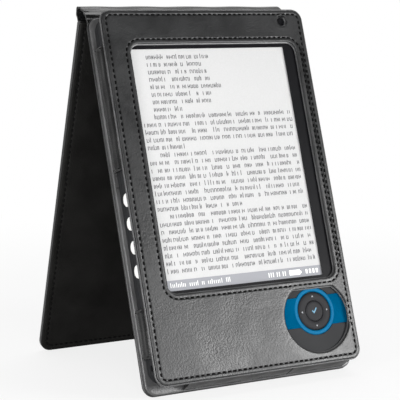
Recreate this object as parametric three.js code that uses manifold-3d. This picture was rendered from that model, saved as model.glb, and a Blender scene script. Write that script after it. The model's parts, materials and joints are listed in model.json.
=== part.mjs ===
// E-reader in a leather stand case: the holder leans back and the cover over its top is the rear leg.
// It is built around the lit area of its display.
// Millimetres, +Z up. Local axes of the holder: x to the right, y back from the front face, z up the face,
// with the origin at the middle of the front face's lower edge.
import * as THREE from 'three';
import { mergeVertices } from 'three/addons/utils/BufferGeometryUtils.js';
import Module from 'manifold-3d';

const wasm = await Module();
wasm.setup();

// ---- Driving dimensions: the stand ----
const leanAngle = 18.66; // degrees, holder back from upright
const legAngle = 14.1; // degrees, cover panel out from upright
const gap = 0.3; // clearance between neighbouring pieces

// ---- Driving dimensions: the leather holder ----
const faceOverhang = 1.6; // face beyond the reader at each side
const faceRadius = 6;
const facePanelThickness = 1.0;
const faceLiningThickness = 0.5;
const rimWidth = 0.7; // rolled rim of the lower layer around the face panel
const windowLeft = 1.2; // lit area to the edge of the screen window
const windowRight = 6.9;
const windowTop = 2.2;
const windowBottom = 2.0;
const windowRadius = 5.5;
const padWindowRadius = 19.5;
const padWindowDrop = 3.8; // pad window centre below the pad centre
const padWindowChord = 15.0; // flat top edge above the pad window centre
const lensWindowRadius = 2.9;
const lensFromRight = 13.15;
const lensFromTop = 6.5;
const backOverhang = 1.0; // back panel beyond the face at each side
const backDrop = 3.5; // back panel below the face
const backTopStep = 0.4; // back panel top below the face top
const backLiningThickness = 0.6;
const backBoardThickness = 1.3;
const backLeatherThickness = 1.0;
const boardInset = 2.0;
const wallThickness = 1.1;
const wallBulge = 1.1;
const upperStrapTop = 17.9; // from the face top
const upperStrapRise = 14.8; // strap's lower end above the highest key
const lowerStrapBottom = 14.5; // from the face bottom
const lowerStrapLength = 24;
const cornerRelief = 12; // walls stop short of a corner
const bottomWallStart = 19.3; // open corner at the lower left
const bottomSlit = 0.6;
const bottomSlitFromRight = 41;

// ---- Driving dimensions: the cover and its spine ----
const hingeRise = 0.5; // spine hinge line above the back panel
const stripLength = 8.5;
const stripThickness = 1.2;
const stripTrim = 1.7; // end of a strip's core line to its hinge line at the fold
const innerStripAngle = 20.7; // degrees, inner strip back from the holder's face direction
const outerStripAngle = 19.3; // degrees, outer strip out from straight down
const coverOverhang = 2.2; // cover beyond the back panel at each side
const coverRadius = 6;
const coverSkew = 3.5; // sideways run of the cover from hinge to foot
const coverShift = 0.5; // cover's middle to the right of the spine's
const coverLeatherThickness = 1.1;
const coverBoardThickness = 1.4;
const coverLiningThickness = 0.9;
const coverHem = 4.5; // turned edge of leather around the board

// ---- Driving dimensions: the reader ----
const screenWidth = 90.6;
const screenHeight = 122.4;
const sideBezel = 12.9; // lit area to the reader's sides, before the sideways shift
const topBezel = 18.3;
const bottomBezel = 43.3;
const readerRadius = 7;
const shellWall = 1.4;
const frontPlate = 1.8;
const rearPlate = 1.6;
const partingRoom = 0.4; // front half of the shell beyond the key openings
const slotRoom = 1.3; // rear half of the shell around the card slot
const readerLift = 2; // reader's lower edge above the face's lower edge
const inlayThickness = 0.5;
const screenShift = 0.45;
const screenBorder = 1.6; // display glass beyond the lit area
const surroundMargin = 5.4;
const surroundRight = 11;
const surroundTop = 4.8;
const surroundBottom = 4.3;
const filmThickness = 1.0;
const backplaneThickness = 1.0;
const midFrameThickness = 0.8;
const boardPartsRoom = 1.6; // between the display's frame and the main board's front
const padFromRight = 22.95;
const padFromBottom = 27.2;
const padRingRadius = 9.65;
const padKeyRadius = 5.2;
const padTravel = 0.4;
const padBandHeight = 15.3;
const padHaloRadius = 12.2;
const padBandWidth = 44;
const keyLength = 6.6;
const keyDepth = 3.0;
const keyProud = 1.0;
const keyPitch = 11.8;
const keyTravel = 0.5;
const lowestKey = 56.8; // above the face's lower edge
const screwHeadRadius = 1.7;
const screwShankRadius = 0.8;
const screwPostRadius = 2.4;
const screwInset = 4.3; // screw line in from the shell's inner side
const screwHeadHeight = 0.7;
const screwSeatDepth = 1.1;
const boardScrewInset = 13.8;
const boardScrewHeight = 34; // above the reader's lower edge
const mainBoardThickness = 1.0;
const mainBoardInset = 9.8;
const mainBoardLow = 4;
const mainBoardHigh = 70;
const batteryHalfWidth = 42;
const batteryLowest = 76;
const batteryToCard = 5.8;
const lensRadius = 1.9;
const usb = { inset: 12.3, halfWidth: 3.85, height: 3.0, depth: 6.2, wall: 0.4 };
const jack = { z: 10, bore: 1.3, length: 7.8, end: 1.2 };
const card = { left: 8, right: 34, depth: 26.5, wall: 0.9, sideRoom: 0.7 };

// ---- Places that follow from the driving dimensions ----
const lean = THREE.MathUtils.degToRad(leanAngle);
const leg = THREE.MathUtils.degToRad(legAngle);
const readerWidth = screenWidth + 2 * sideBezel;
const readerHeight = screenHeight + bottomBezel + topBezel;
const faceWidth = readerWidth + 2 * faceOverhang;
const faceHeight = readerHeight + 2 * readerLift;
const liningFront = facePanelThickness + gap;
const readerFront = liningFront + faceLiningThickness + gap;
const plateBack = readerFront + frontPlate;
const inlayFloor = readerFront + inlayThickness + gap;
const filmFront = inlayFloor;
const backplaneFront = filmFront + filmThickness + gap;
const midFrameFront = backplaneFront + backplaneThickness + gap;
const midFrameBack = midFrameFront + midFrameThickness;
const partingFront = plateBack + keyDepth + 2 * gap + partingRoom;
const partingBack = partingFront + gap;
const boardStack = boardPartsRoom + mainBoardThickness + 2 * gap;
const rearFloor = Math.max(midFrameBack + boardStack, partingBack + slotRoom);
const mainBoardFront = rearFloor - gap - mainBoardThickness;
const readerBack = rearFloor + rearPlate;
const backLiningFront = readerBack + gap;
const backBoardFront = backLiningFront + backLiningThickness + gap;
const backLeatherFront = backBoardFront + backBoardThickness + gap;
const holderDepth = backLeatherFront + backLeatherThickness;
const faceLeft = -faceWidth / 2;
const faceRight = faceWidth / 2;
const backHalfWidth = faceRight + backOverhang;
const stripHalfWidth = backHalfWidth - gap;
const coverHalfWidth = backHalfWidth + coverOverhang;
const backTop = faceHeight - backTopStep;
const wallFront = liningFront + faceLiningThickness + gap;
const wallBack = backLiningFront + backLiningThickness;
const readerHalfWidth = readerWidth / 2;
const readerTop = readerLift + readerHeight;
const wallInner = readerHalfWidth + gap;
const innerHalfWidth = readerHalfWidth - shellWall;
const screenBottom = readerLift + bottomBezel;
const screenTop = screenBottom + screenHeight;
const glassWidth = screenWidth + 2 * screenBorder;
const glassHeight = screenHeight + 2 * screenBorder;
const padX = faceRight - padFromRight;
const padZ = padFromBottom;
const ringBack = plateBack + gap;
const domeFront = ringBack + padTravel + gap;
const keypadFront = domeFront + 2 * gap;
const partsBack = mainBoardFront - gap;
const highestKey = lowestKey + 3 * keyPitch;
const lensX = faceRight - lensFromRight;
const lensZ = faceHeight - lensFromTop;
const hingeY = backLeatherFront + backLeatherThickness / 10;
const hingeZ = backTop + hingeRise;
const coverThickness = coverLeatherThickness + coverBoardThickness + coverLiningThickness + 2 * gap;
const sideBoardX = -readerHalfWidth + shellWall + 2 * gap + keyTravel + 0.5;
const screwX = innerHalfWidth - screwInset;
const screwHeights = [readerLift + 22, highestKey + 23.8, readerTop - 10];
const screwPlaces = [-1, 1].flatMap((side) => screwHeights.map((z) => ({ x: side * screwX, z })));
const boardScrewX = innerHalfWidth - boardScrewInset;
const boardScrewZ = readerLift + boardScrewHeight;
const boardScrewPlaces = [-1, 1].map((side) => ({ x: side * boardScrewX, z: boardScrewZ }));
const usbX = usb.inset - innerHalfWidth;
const usbBack = partsBack;
const usbFront = usbBack - usb.height;
const jackY = (plateBack + mainBoardFront) / 2;
const jackRadius = (mainBoardFront - plateBack) / 2 - gap;
const slotFront = partingBack + 0.2;
const slotBack = rearFloor - 0.4;
const cardHigh = readerTop - shellWall - gap;

// ---- Materials ----
const leather = { color: 0x1b1b1c, roughness: 0.42 };
const leatherEdge = { color: 0x2a2a2a, roughness: 0.55 };
const lining = { color: 0x161615, roughness: 0.8 };
const stiffBoard = { color: 0x6d5a42, roughness: 0.9 };
const shellGrey = { color: 0x3a3b3d, roughness: 0.5 };
const glossBlack = { color: 0x0c0c0d, roughness: 0.25 };
const accentBlue = { color: 0x005f96, roughness: 0.4 };
const keyWhite = { color: 0xf2f2ef, roughness: 0.35 };
const paper = { color: 0xd8d8d6, roughness: 0.6 };
const glass = { color: 0x8fa39b, roughness: 0.15 };
const steel = { color: 0xb4b6b8, roughness: 0.3, metalness: 0.9 };
const circuit = { color: 0x1f5a38, roughness: 0.6 };
const amberFilm = { color: 0xa8661c, roughness: 0.45 };
const silverFoil = { color: 0xa9abad, roughness: 0.4, metalness: 0.6 };

// ---- Geometry helpers ----
function add(parent, name, geometry, finish) {
  const mesh = new THREE.Mesh(geometry, new THREE.MeshStandardMaterial(finish));
  mesh.name = name;
  parent.add(mesh);
  return mesh;
}

// Outline of a rectangle with round corners, between two opposite corners.
function roundedOutline(left, bottom, right, top, radius) {
  const shape = new THREE.Shape();
  const quarter = Math.PI / 2;
  shape.absarc(right - radius, top - radius, radius, 0, quarter);
  shape.absarc(left + radius, top - radius, radius, quarter, 2 * quarter);
  shape.absarc(left + radius, bottom + radius, radius, 2 * quarter, 3 * quarter);
  shape.absarc(right - radius, bottom + radius, radius, 3 * quarter, 4 * quarter);
  shape.closePath();
  return shape;
}

function rectangle(left, bottom, right, top) {
  const corners = [[left, bottom], [right, bottom], [right, top], [left, top]];
  return polygon(corners);
}

function polygon(corners) {
  return new THREE.Shape(corners.map(([a, b]) => new THREE.Vector2(a, b)));
}

function circle(x, z, radius) {
  const shape = new THREE.Shape();
  shape.absarc(x, z, radius, 0, 2 * Math.PI);
  return shape;
}

// Plate whose outline lies in x and z, from depth front to depth back.
function slab(shape, front, back, segments = 6) {
  const options = { depth: back - front, bevelEnabled: false, curveSegments: segments };
  const geometry = new THREE.ExtrudeGeometry(shape, options);
  geometry.rotateX(Math.PI / 2);
  geometry.translate(0, back, 0);
  return geometry;
}

// Bar whose section lies in y and z, from x left to x right.
function bar(section, left, right, segments = 6) {
  const options = { depth: right - left, bevelEnabled: false, curveSegments: segments };
  const geometry = new THREE.ExtrudeGeometry(section, options);
  geometry.rotateX(Math.PI / 2);
  geometry.rotateZ(Math.PI / 2);
  geometry.translate(left, 0, 0);
  return geometry;
}

// Post whose section lies in x and y, from z low to z high.
function post(section, low, high, segments = 6) {
  const options = { depth: high - low, bevelEnabled: false, curveSegments: segments };
  const geometry = new THREE.ExtrudeGeometry(section, options);
  geometry.translate(0, 0, low);
  return geometry;
}

function block(left, right, front, back, low, high) {
  return slab(rectangle(left, low, right, high), front, back);
}

function toSolid(geometry) {
  const plain = geometry.clone();
  plain.deleteAttribute('normal');
  plain.deleteAttribute('uv');
  const merged = mergeVertices(plain, 1e-4);
  const vertProperties = new Float32Array(merged.attributes.position.array);
  const triVerts = new Uint32Array(merged.index.array);
  return new wasm.Manifold(new wasm.Mesh({ numProp: 3, vertProperties, triVerts }));
}

function toGeometry(solid) {
  const mesh = solid.getMesh();
  const geometry = new THREE.BufferGeometry();
  geometry.setAttribute('position', new THREE.BufferAttribute(new Float32Array(mesh.vertProperties), 3));
  geometry.setIndex(new THREE.BufferAttribute(new Uint32Array(mesh.triVerts), 1));
  geometry.computeVertexNormals();
  return geometry;
}

// One geometry joined with others and cut by others.
function carve(geometry, joins, cuts) {
  let solid = toSolid(geometry);
  for (const piece of joins) {
    solid = solid.add(toSolid(piece));
  }
  for (const piece of cuts) {
    solid = solid.subtract(toSolid(piece));
  }
  return toGeometry(solid);
}

// ---- Leather holder ----

// Round window with a flat top edge over the navigation pad.
function padWindow() {
  const z = padZ - padWindowDrop;
  const start = Math.PI - Math.asin(padWindowChord / padWindowRadius);
  const end = 2 * Math.PI + Math.asin(padWindowChord / padWindowRadius);
  const path = new THREE.Shape();
  path.absarc(padX, z, padWindowRadius, start, end);
  path.closePath();
  return path;
}

function faceOutline(inset) {
  const radius = faceRadius - inset;
  const shape = roundedOutline(faceLeft + inset, inset, faceRight - inset, faceHeight - inset, radius);
  const left = screenShift - screenWidth / 2 - windowLeft;
  const right = screenShift + screenWidth / 2 + windowRight;
  const low = screenBottom - windowBottom;
  shape.holes.push(roundedOutline(left, low, right, screenTop + windowTop, windowRadius));
  shape.holes.push(padWindow());
  shape.holes.push(circle(lensX, lensZ, lensWindowRadius));
  return shape;
}

function backOutline(inset) {
  const side = backHalfWidth - inset;
  return roundedOutline(-side, -backDrop + inset, side, backTop - inset, faceRadius - inset);
}

// Section of a side strap: flat against the reader, bulging outwards. side is -1 left, 1 right.
function strapSection(side) {
  const inner = side * wallInner;
  const edge = side * (wallInner + wallThickness);
  const crown = side * (wallInner + wallThickness + 2 * wallBulge);
  const middle = (wallFront + wallBack) / 2;
  const section = new THREE.Shape();
  section.moveTo(inner, wallFront);
  section.lineTo(edge, wallFront);
  section.quadraticCurveTo(crown, middle, edge, wallBack);
  section.lineTo(inner, wallBack);
  section.closePath();
  return section;
}

// Section of the lower wall: it runs from under the face down to the longer back panel.
function bottomWallSection() {
  const lowBack = -backDrop + boardInset / 2;
  const frontTop = readerLift - gap;
  return polygon([
    [wallFront, frontTop - wallThickness],
    [wallBack, lowBack],
    [wallBack, lowBack + wallThickness],
    [wallFront, frontTop],
  ]);
}

function addHolder(holder) {
  add(holder, 'front_fascia', slab(faceOutline(rimWidth), 0, facePanelThickness, 10), leather);
  add(holder, 'fascia_lining', slab(faceOutline(0), liningFront, wallFront - gap, 10), leatherEdge);

  const upperTop = faceHeight - upperStrapTop;
  const left = strapSection(-1);
  add(holder, 'left_upper_strap', post(left, highestKey + upperStrapRise, upperTop), leather);
  const lowerTop = lowerStrapBottom + lowerStrapLength;
  add(holder, 'left_lower_strap', post(left, lowerStrapBottom, lowerTop), leather);
  add(holder, 'right_wall', post(strapSection(1), cornerRelief, faceHeight - cornerRelief), leather);

  const topLow = readerTop + gap;
  const topHigh = topLow + wallThickness;
  const wallEnd = faceRight - cornerRelief / 2;
  const topWall = block(-wallEnd + cornerRelief / 2, wallEnd, wallFront, wallBack, topLow, topHigh);
  add(holder, 'top_wall', topWall, leather);

  const section = bottomWallSection();
  const slit = faceRight - bottomSlitFromRight;
  add(holder, 'bottom_wall_left', bar(section, faceLeft + bottomWallStart, slit), leather);
  add(holder, 'bottom_wall_right', bar(section, slit + bottomSlit, wallEnd), leather);

  const backLining = slab(readerOutline(0), backLiningFront, backLiningFront + backLiningThickness);
  add(holder, 'back_lining', backLining, lining);
  const backBoard = slab(backOutline(boardInset), backBoardFront, backBoardFront + backBoardThickness);
  add(holder, 'back_board', backBoard, stiffBoard);
  add(holder, 'back_leather', slab(backOutline(0), backLeatherFront, holderDepth), leather);
}

// ---- Reader shell ----

function readerOutline(inset) {
  const side = readerHalfWidth - inset;
  return roundedOutline(-side, readerLift + inset, side, readerTop - inset, readerRadius - inset);
}

function screenOutline(grow, radius) {
  const side = screenWidth / 2 + grow;
  const high = screenTop + grow;
  return roundedOutline(screenShift - side, screenBottom - grow, screenShift + side, high, radius);
}

function surroundOutline(grow) {
  const left = screenShift - screenWidth / 2 - surroundMargin - grow;
  const right = screenShift + screenWidth / 2 + surroundRight + grow;
  const top = screenTop + surroundTop + grow;
  return roundedOutline(left, screenBottom - surroundBottom - grow, right, top, 2 + grow);
}

// Blue inlay: a band across the pad with a round halo.
function bandGeometry(grow, front, back) {
  const half = padBandHeight / 2 + grow;
  const right = innerHalfWidth + grow;
  const band = rectangle(right - padBandWidth - 2 * grow, padZ - half, right, padZ + half);
  const halo = slab(circle(padX, padZ, padHaloRadius + grow), front, back, 12);
  return carve(slab(band, front, back), [halo], []);
}

function keyHeights() {
  return [3, 2, 1, 0].map((step) => lowestKey + step * keyPitch);
}

// Half-moon section of a side key in y and z, straight towards the front.
function keySection(z, grow, growFront = 0) {
  const front = plateBack + gap;
  const half = keyLength / 2 + grow;
  const section = new THREE.Shape();
  section.moveTo(front - growFront, z - half);
  section.absellipse(front, z, keyDepth + grow, half, -Math.PI / 2, Math.PI / 2);
  section.lineTo(front - growFront, z + half);
  section.closePath();
  return section;
}

function screwBores(radius, front, back) {
  return screwPlaces.map(({ x, z }) => slab(circle(x, z, radius), front, back, 4));
}

// Opening of the charging socket, from z low to z high.
function usbOpening(low, high) {
  const half = usb.halfWidth - usb.wall;
  return block(usbX - half, usbX + half, usbFront + usb.wall, usbBack - usb.wall - 0.5, low, high);
}

function connectorCuts() {
  const jackHole = circle(jackY, jack.z, jack.bore + gap);
  return [
    usbOpening(readerLift - 1, readerLift + 2 * shellWall),
    bar(jackHole, -readerHalfWidth - 1, 1 - innerHalfWidth),
  ];
}

function addFrontBezel(reader) {
  const cuts = [
    slab(readerOutline(shellWall), plateBack, partingFront + 1),
    slab(screenOutline(screenBorder + gap, 0.6), readerFront - 1, plateBack + 1),
    slab(surroundOutline(gap), readerFront - 1, inlayFloor),
    bandGeometry(gap, readerFront - 1, inlayFloor),
    slab(circle(padX, padZ, padRingRadius + gap), readerFront - 1, plateBack + 1, 12),
    slab(circle(lensX, lensZ, lensRadius + gap), readerFront - 1, plateBack + 1, 4),
    ...keyHeights().map((z) => bar(keySection(z, gap, gap), -readerHalfWidth - 1, 1 - innerHalfWidth)),
    ...connectorCuts(),
  ];
  const posts = screwBores(screwPostRadius, plateBack - 0.5, rearFloor - gap);
  const body = carve(slab(readerOutline(0), readerFront, partingFront), [], cuts);
  const withPosts = carve(body, posts, screwBores(screwShankRadius + gap, plateBack + 1.5, rearFloor + 1));
  add(reader, 'front_bezel', withPosts, shellGrey);
}

function addRearShell(reader) {
  const cardLeft = card.left + card.sideRoom;
  const cardRight = card.right - card.sideRoom;
  const cardCut = block(cardLeft, cardRight, slotFront, slotBack, readerTop - 3, readerTop + 1);
  const headSeat = readerBack - screwSeatDepth;
  const boreEnd = readerBack - 0.6;
  const boardBores = boardScrewPlaces.map(({ x, z }) => slab(circle(x, z, 1), rearFloor - 1, boreEnd, 4));
  const cuts = [
    slab(readerOutline(shellWall), partingBack - 1, rearFloor),
    cardCut,
    ...screwBores(screwHeadRadius + gap, headSeat, readerBack + 1),
    ...screwBores(screwShankRadius + gap, rearFloor - 1, readerBack + 1),
    ...boardBores,
  ];
  add(reader, 'rear_shell', carve(slab(readerOutline(0), partingBack, readerBack), [], cuts), shellGrey);
}


function addScrews(reader) {
  screwPlaces.forEach(({ x, z }, index) => {
    const seat = readerBack - screwSeatDepth + gap;
    const head = slab(circle(x, z, screwHeadRadius), seat, seat + screwHeadHeight, 4);
    const shank = slab(circle(x, z, screwShankRadius), plateBack + 2, seat + 0.2, 4);
    add(reader, `shell_screw_${index + 1}`, carve(head, [shank], []), steel);
  });
  boardScrewPlaces.forEach(({ x, z }, index) => {
    const shank = slab(circle(x, z, 0.7), partsBack - 0.2, readerBack - 0.9, 4);
    const head = slab(circle(x, z, 1.5), partsBack - screwHeadHeight, partsBack, 4);
    add(reader, `board_screw_${index + 1}`, carve(head, [shank], []), steel);
  });
}

// ---- Reader display ----

function addDisplay(reader) {
  const surround = surroundOutline(0);
  surround.holes.push(screenOutline(0, 0.3));
  add(reader, 'screen_surround', slab(surround, readerFront, readerFront + inlayThickness), glossBlack);
  const film = slab(screenOutline(screenBorder, 0.3), filmFront, filmFront + filmThickness);
  add(reader, 'display_film', film, paper);
  const backplaneBack = backplaneFront + backplaneThickness;
  const backplane = slab(screenOutline(screenBorder - 0.4, 0.3), backplaneFront, backplaneBack);
  add(reader, 'display_backplane', backplane, glass);

  const side = glassWidth / 2 + 0.6;
  const low = screenBottom + 0.5;
  const high = screenBottom + glassHeight + 6;
  const frame = roundedOutline(screenShift - side, low, screenShift + side, high, 3);
  add(reader, 'mid_frame', slab(frame, midFrameFront, midFrameBack), silverFoil);
  add(reader, 'display_ribbon', ribbonGeometry(), amberFilm);
}

// Flat cable from the display's lower edge, round the frame's edge, to the main board.
function ribbonGeometry() {
  const thickness = 0.25;
  const frontFace = backplaneFront + 0.2;
  const backFace = partsBack;
  const middle = (frontFace + backFace) / 2;
  const outer = (backFace - frontFace) / 2;
  const inner = outer - thickness;
  const turnZ = screenBottom - screenBorder - gap - 0.4;
  const section = new THREE.Shape();
  section.moveTo(frontFace, turnZ + 0.5);
  section.absarc(middle, turnZ, outer, Math.PI, 2 * Math.PI);
  section.lineTo(backFace, turnZ + 6);
  section.lineTo(backFace - thickness, turnZ + 6);
  section.absarc(middle, turnZ, inner, 2 * Math.PI, Math.PI, true);
  section.lineTo(frontFace + thickness, turnZ + 0.5);
  section.closePath();
  return bar(section, -36, -16, 6);
}

// ---- Reader keys ----

function addPad(reader) {
  const band = bandGeometry(0, readerFront, readerFront + inlayThickness);
  const hole = slab(circle(padX, padZ, padRingRadius + gap), readerFront - 1, readerBack, 12);
  add(reader, 'accent_band', carve(band, [], [hole]), accentBlue);

  const ring = circle(padX, padZ, padRingRadius);
  ring.holes.push(circle(padX, padZ, padKeyRadius + gap));
  add(reader, 'dpad_ring', slab(ring, readerFront - 0.2, ringBack, 12), shellGrey);
  const key = slab(circle(padX, padZ, padKeyRadius), readerFront - 0.1, ringBack, 10);
  add(reader, 'dpad_centre_key', key, shellGrey);

  const domes = slab(circle(padX, padZ, padRingRadius), domeFront, domeFront + gap);
  add(reader, 'dpad_dome_sheet', domes, amberFilm);
  const side = screwX - screwPostRadius - 2 * gap - padX;
  const board = roundedOutline(padX - side, padZ - side, padX + side, padZ + side, 2);
  add(reader, 'keypad_board', slab(board, keypadFront, keypadFront + 0.8), circuit);
}

function addSideKeys(reader) {
  const outer = -readerHalfWidth - keyProud;
  const wallInside = -innerHalfWidth;
  const flangeInner = wallInside + gap + 0.5;
  keyHeights().forEach((z, index) => {
    const cap = bar(keySection(z, 0), outer, flangeInner);
    const flange = bar(keySection(z, 0.7), wallInside + gap, flangeInner);
    add(reader, `side_key_${index + 1}`, carve(cap, [flange], []), keyWhite);
  });
  const low = lowestKey - keyLength;
  const high = highestKey + keyLength;
  const strip = block(sideBoardX, sideBoardX + 0.8, plateBack + gap, rearFloor - 2.5, low, high);
  add(reader, 'side_switch_strip', strip, circuit);
}

// ---- Reader electronics ----

function addElectronics(reader) {
  const bores = boardScrewPlaces.map(({ x, z }) => slab(circle(x, z, 1), mainBoardFront - 1, rearFloor, 4));
  const boardSide = innerHalfWidth - mainBoardInset;
  const boardHigh = readerLift + mainBoardHigh;
  const boardShape = roundedOutline(-boardSide, readerLift + mainBoardLow, boardSide, boardHigh, 2);
  const board = slab(boardShape, mainBoardFront, mainBoardFront + mainBoardThickness);
  add(reader, 'main_board', carve(board, [], bores), circuit);
  const shield = block(-10, 20, partsBack - 1.1, partsBack, boardHigh - 22, boardHigh - 2);
  add(reader, 'processor_shield', shield, steel);
  const chip = block(26, 38, partsBack - 0.8, partsBack, boardHigh - 20, boardHigh - 6);
  add(reader, 'memory_chip', chip, glossBlack);

  const batteryLow = readerLift + batteryLowest;
  const batteryHigh = cardHigh - card.depth - batteryToCard;
  const cell = roundedOutline(-batteryHalfWidth, batteryLow, batteryHalfWidth, batteryHigh, 2);
  add(reader, 'battery', slab(cell, midFrameBack + gap, rearFloor - gap), silverFoil);
  const flex = block(30, 38, partsBack - 0.3, partsBack, batteryLow - 8, batteryLow - gap);
  add(reader, 'battery_flex', flex, amberFilm);

  const usbLow = readerLift + shellWall + gap;
  const usbHigh = usbLow + usb.depth;
  const usbBody = block(usbX - usb.halfWidth, usbX + usb.halfWidth, usbFront, usbBack, usbLow, usbHigh);
  add(reader, 'usb_socket', carve(usbBody, [], [usbOpening(0, usbHigh - 1.2)]), steel);

  const jackLeft = gap - innerHalfWidth;
  const jackRight = jackLeft + jack.length;
  const bore = bar(circle(jackY, jack.z, jack.bore), jackLeft - 1, jackRight - jack.end);
  const barrel = bar(circle(jackY, jack.z, jackRadius), jackLeft, jackRight);
  add(reader, 'headphone_jack', carve(barrel, [], [bore]), glossBlack);

  const cardLow = cardHigh - card.depth;
  const cardBody = block(card.left, card.right, midFrameBack + gap, rearFloor - gap, cardLow, cardHigh);
  const mouthLeft = card.left + card.wall;
  const mouthRight = card.right - card.wall;
  const cardMouth = block(mouthLeft, mouthRight, slotFront, slotBack - gap, cardLow + 2.5, cardHigh + 1);
  add(reader, 'card_socket', carve(cardBody, [], [cardMouth]), steel);

  const lens = slab(circle(lensX, lensZ, lensRadius), readerFront, plateBack + 0.6, 4);
  add(reader, 'status_lens', lens, glossBlack);
}

// ---- Spine and cover ----

// Section of a spine strip in y and z: a flat band with round edges, its core from z low to z high.
function stripSection(low, high) {
  const radius = stripThickness / 2;
  const section = new THREE.Shape();
  section.absarc(0, high, radius, 0, Math.PI);
  section.absarc(0, low, radius, Math.PI, 2 * Math.PI);
  section.closePath();
  return section;
}

function addSpineAndCover(holder) {
  const endTrim = stripThickness / 2 + gap;
  const inner = new THREE.Group();
  inner.position.set(0, hingeY, hingeZ);
  inner.rotation.x = -THREE.MathUtils.degToRad(innerStripAngle);
  holder.add(inner);
  const innerSection = stripSection(endTrim, stripLength - stripTrim);
  add(inner, 'spine_inner', bar(innerSection, -stripHalfWidth, stripHalfWidth), leather);

  const outer = new THREE.Group();
  outer.position.set(0, 0, stripLength);
  outer.rotation.x = -(Math.PI - THREE.MathUtils.degToRad(outerStripAngle + innerStripAngle) - lean);
  inner.add(outer);
  const outerSection = stripSection(stripTrim, stripLength - endTrim);
  add(outer, 'spine_outer', bar(outerSection, -stripHalfWidth, stripHalfWidth), leather);

  const cover = new THREE.Group();
  cover.position.set(coverShift, 0, stripLength);
  cover.rotation.x = -(THREE.MathUtils.degToRad(outerStripAngle) - leg);
  outer.add(cover);
  addCover(cover, coverLength(cover, holder));
}

// Length that brings the cover's inner foot edge down to the ground under the holder's back edge.
function coverLength(cover, holder) {
  holder.updateMatrixWorld(true);
  const hinge = new THREE.Vector3().setFromMatrixPosition(cover.matrixWorld);
  return (hinge.z - (coverThickness / 2) * Math.sin(leg)) / Math.cos(leg);
}

function addCover(cover, length) {
  const top = gap + 0.3;
  const outerFace = -coverThickness / 2;
  const innerFace = coverThickness / 2;
  const hemBack = innerFace - coverLiningThickness - gap;
  const slant = new THREE.Matrix4().makeShear(0, 0, 0, 0, -coverSkew / length, 0);
  const outline = (inset) => {
    const side = coverHalfWidth - inset;
    return roundedOutline(-side, top + inset, side, length - inset, coverRadius - inset);
  };
  const pocket = slab(outline(coverHem), outerFace + coverLeatherThickness, hemBack + 1);
  const skin = carve(slab(outline(0), outerFace, hemBack), [], [pocket]);
  const boardFront = outerFace + coverLeatherThickness + gap;
  const board = slab(outline(coverHem + gap), boardFront, hemBack);
  const inner = slab(outline(0), hemBack + gap, innerFace);
  for (const [name, geometry, finish] of [
    ['cover_leather', skin, leather],
    ['cover_board', board, stiffBoard],
    ['cover_lining', inner, lining],
  ]) {
    add(cover, name, geometry.applyMatrix4(slant), finish);
  }
}

// ---- Assembly ----

const group = new THREE.Group();
const holder = new THREE.Group();
const groundDrop = holderDepth * Math.sin(lean) + backDrop * Math.cos(lean);
holder.rotation.x = -lean;
holder.position.z = groundDrop;
group.add(holder);

addHolder(holder);
addFrontBezel(holder);
addRearShell(holder);
addScrews(holder);
addDisplay(holder);
addPad(holder);
addSideKeys(holder);
addElectronics(holder);
addSpineAndCover(holder);

// The origin is the middle of the base under the whole object.
const extent = new THREE.Box3().setFromObject(group, true);
const middle = extent.getCenter(new THREE.Vector3());
holder.position.x -= middle.x;
holder.position.y -= middle.y;

export default group;
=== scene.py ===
"""Looks for the e-reader in its leather stand case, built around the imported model.

Pieces are drawn in the holder's own axes, in millimetres: x to the right, y back from the front face and z up the
face, from the middle of the face's lower edge. The cover has axes of its own: z runs from its hinge to its foot.
"""

import json
import math
import random

import bmesh
import bpy
import numpy as np
from mathutils import Matrix, Vector
from mathutils.geometry import tessellate_polygon


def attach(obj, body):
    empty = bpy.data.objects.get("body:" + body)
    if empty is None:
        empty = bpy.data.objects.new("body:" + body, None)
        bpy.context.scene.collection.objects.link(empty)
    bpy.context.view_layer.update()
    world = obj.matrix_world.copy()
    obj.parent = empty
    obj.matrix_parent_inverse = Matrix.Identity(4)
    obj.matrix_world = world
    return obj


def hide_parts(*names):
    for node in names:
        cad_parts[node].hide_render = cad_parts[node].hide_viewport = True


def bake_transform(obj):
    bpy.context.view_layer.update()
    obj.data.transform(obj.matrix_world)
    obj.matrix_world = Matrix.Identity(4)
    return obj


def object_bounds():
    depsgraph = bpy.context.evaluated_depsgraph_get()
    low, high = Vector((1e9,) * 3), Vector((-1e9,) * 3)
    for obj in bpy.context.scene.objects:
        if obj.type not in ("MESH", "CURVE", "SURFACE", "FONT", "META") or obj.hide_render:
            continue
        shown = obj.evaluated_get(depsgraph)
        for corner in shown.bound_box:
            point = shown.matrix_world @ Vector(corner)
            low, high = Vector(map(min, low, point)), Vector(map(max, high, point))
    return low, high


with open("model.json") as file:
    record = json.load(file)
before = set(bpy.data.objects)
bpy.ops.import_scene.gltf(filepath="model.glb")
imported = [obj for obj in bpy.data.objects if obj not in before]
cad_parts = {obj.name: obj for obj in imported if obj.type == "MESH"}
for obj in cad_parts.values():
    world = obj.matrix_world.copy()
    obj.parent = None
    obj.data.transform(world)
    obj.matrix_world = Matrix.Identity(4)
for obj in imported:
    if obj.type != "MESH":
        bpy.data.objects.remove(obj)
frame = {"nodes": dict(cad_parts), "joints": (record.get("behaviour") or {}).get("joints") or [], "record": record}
cad_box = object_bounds()
record = frame["record"]
joints = {j["name"]: j for j in frame["joints"]}
mounts = {m["name"]: m for m in record["mounts"]}
nodes = frame["nodes"]
random.seed(7)

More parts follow.
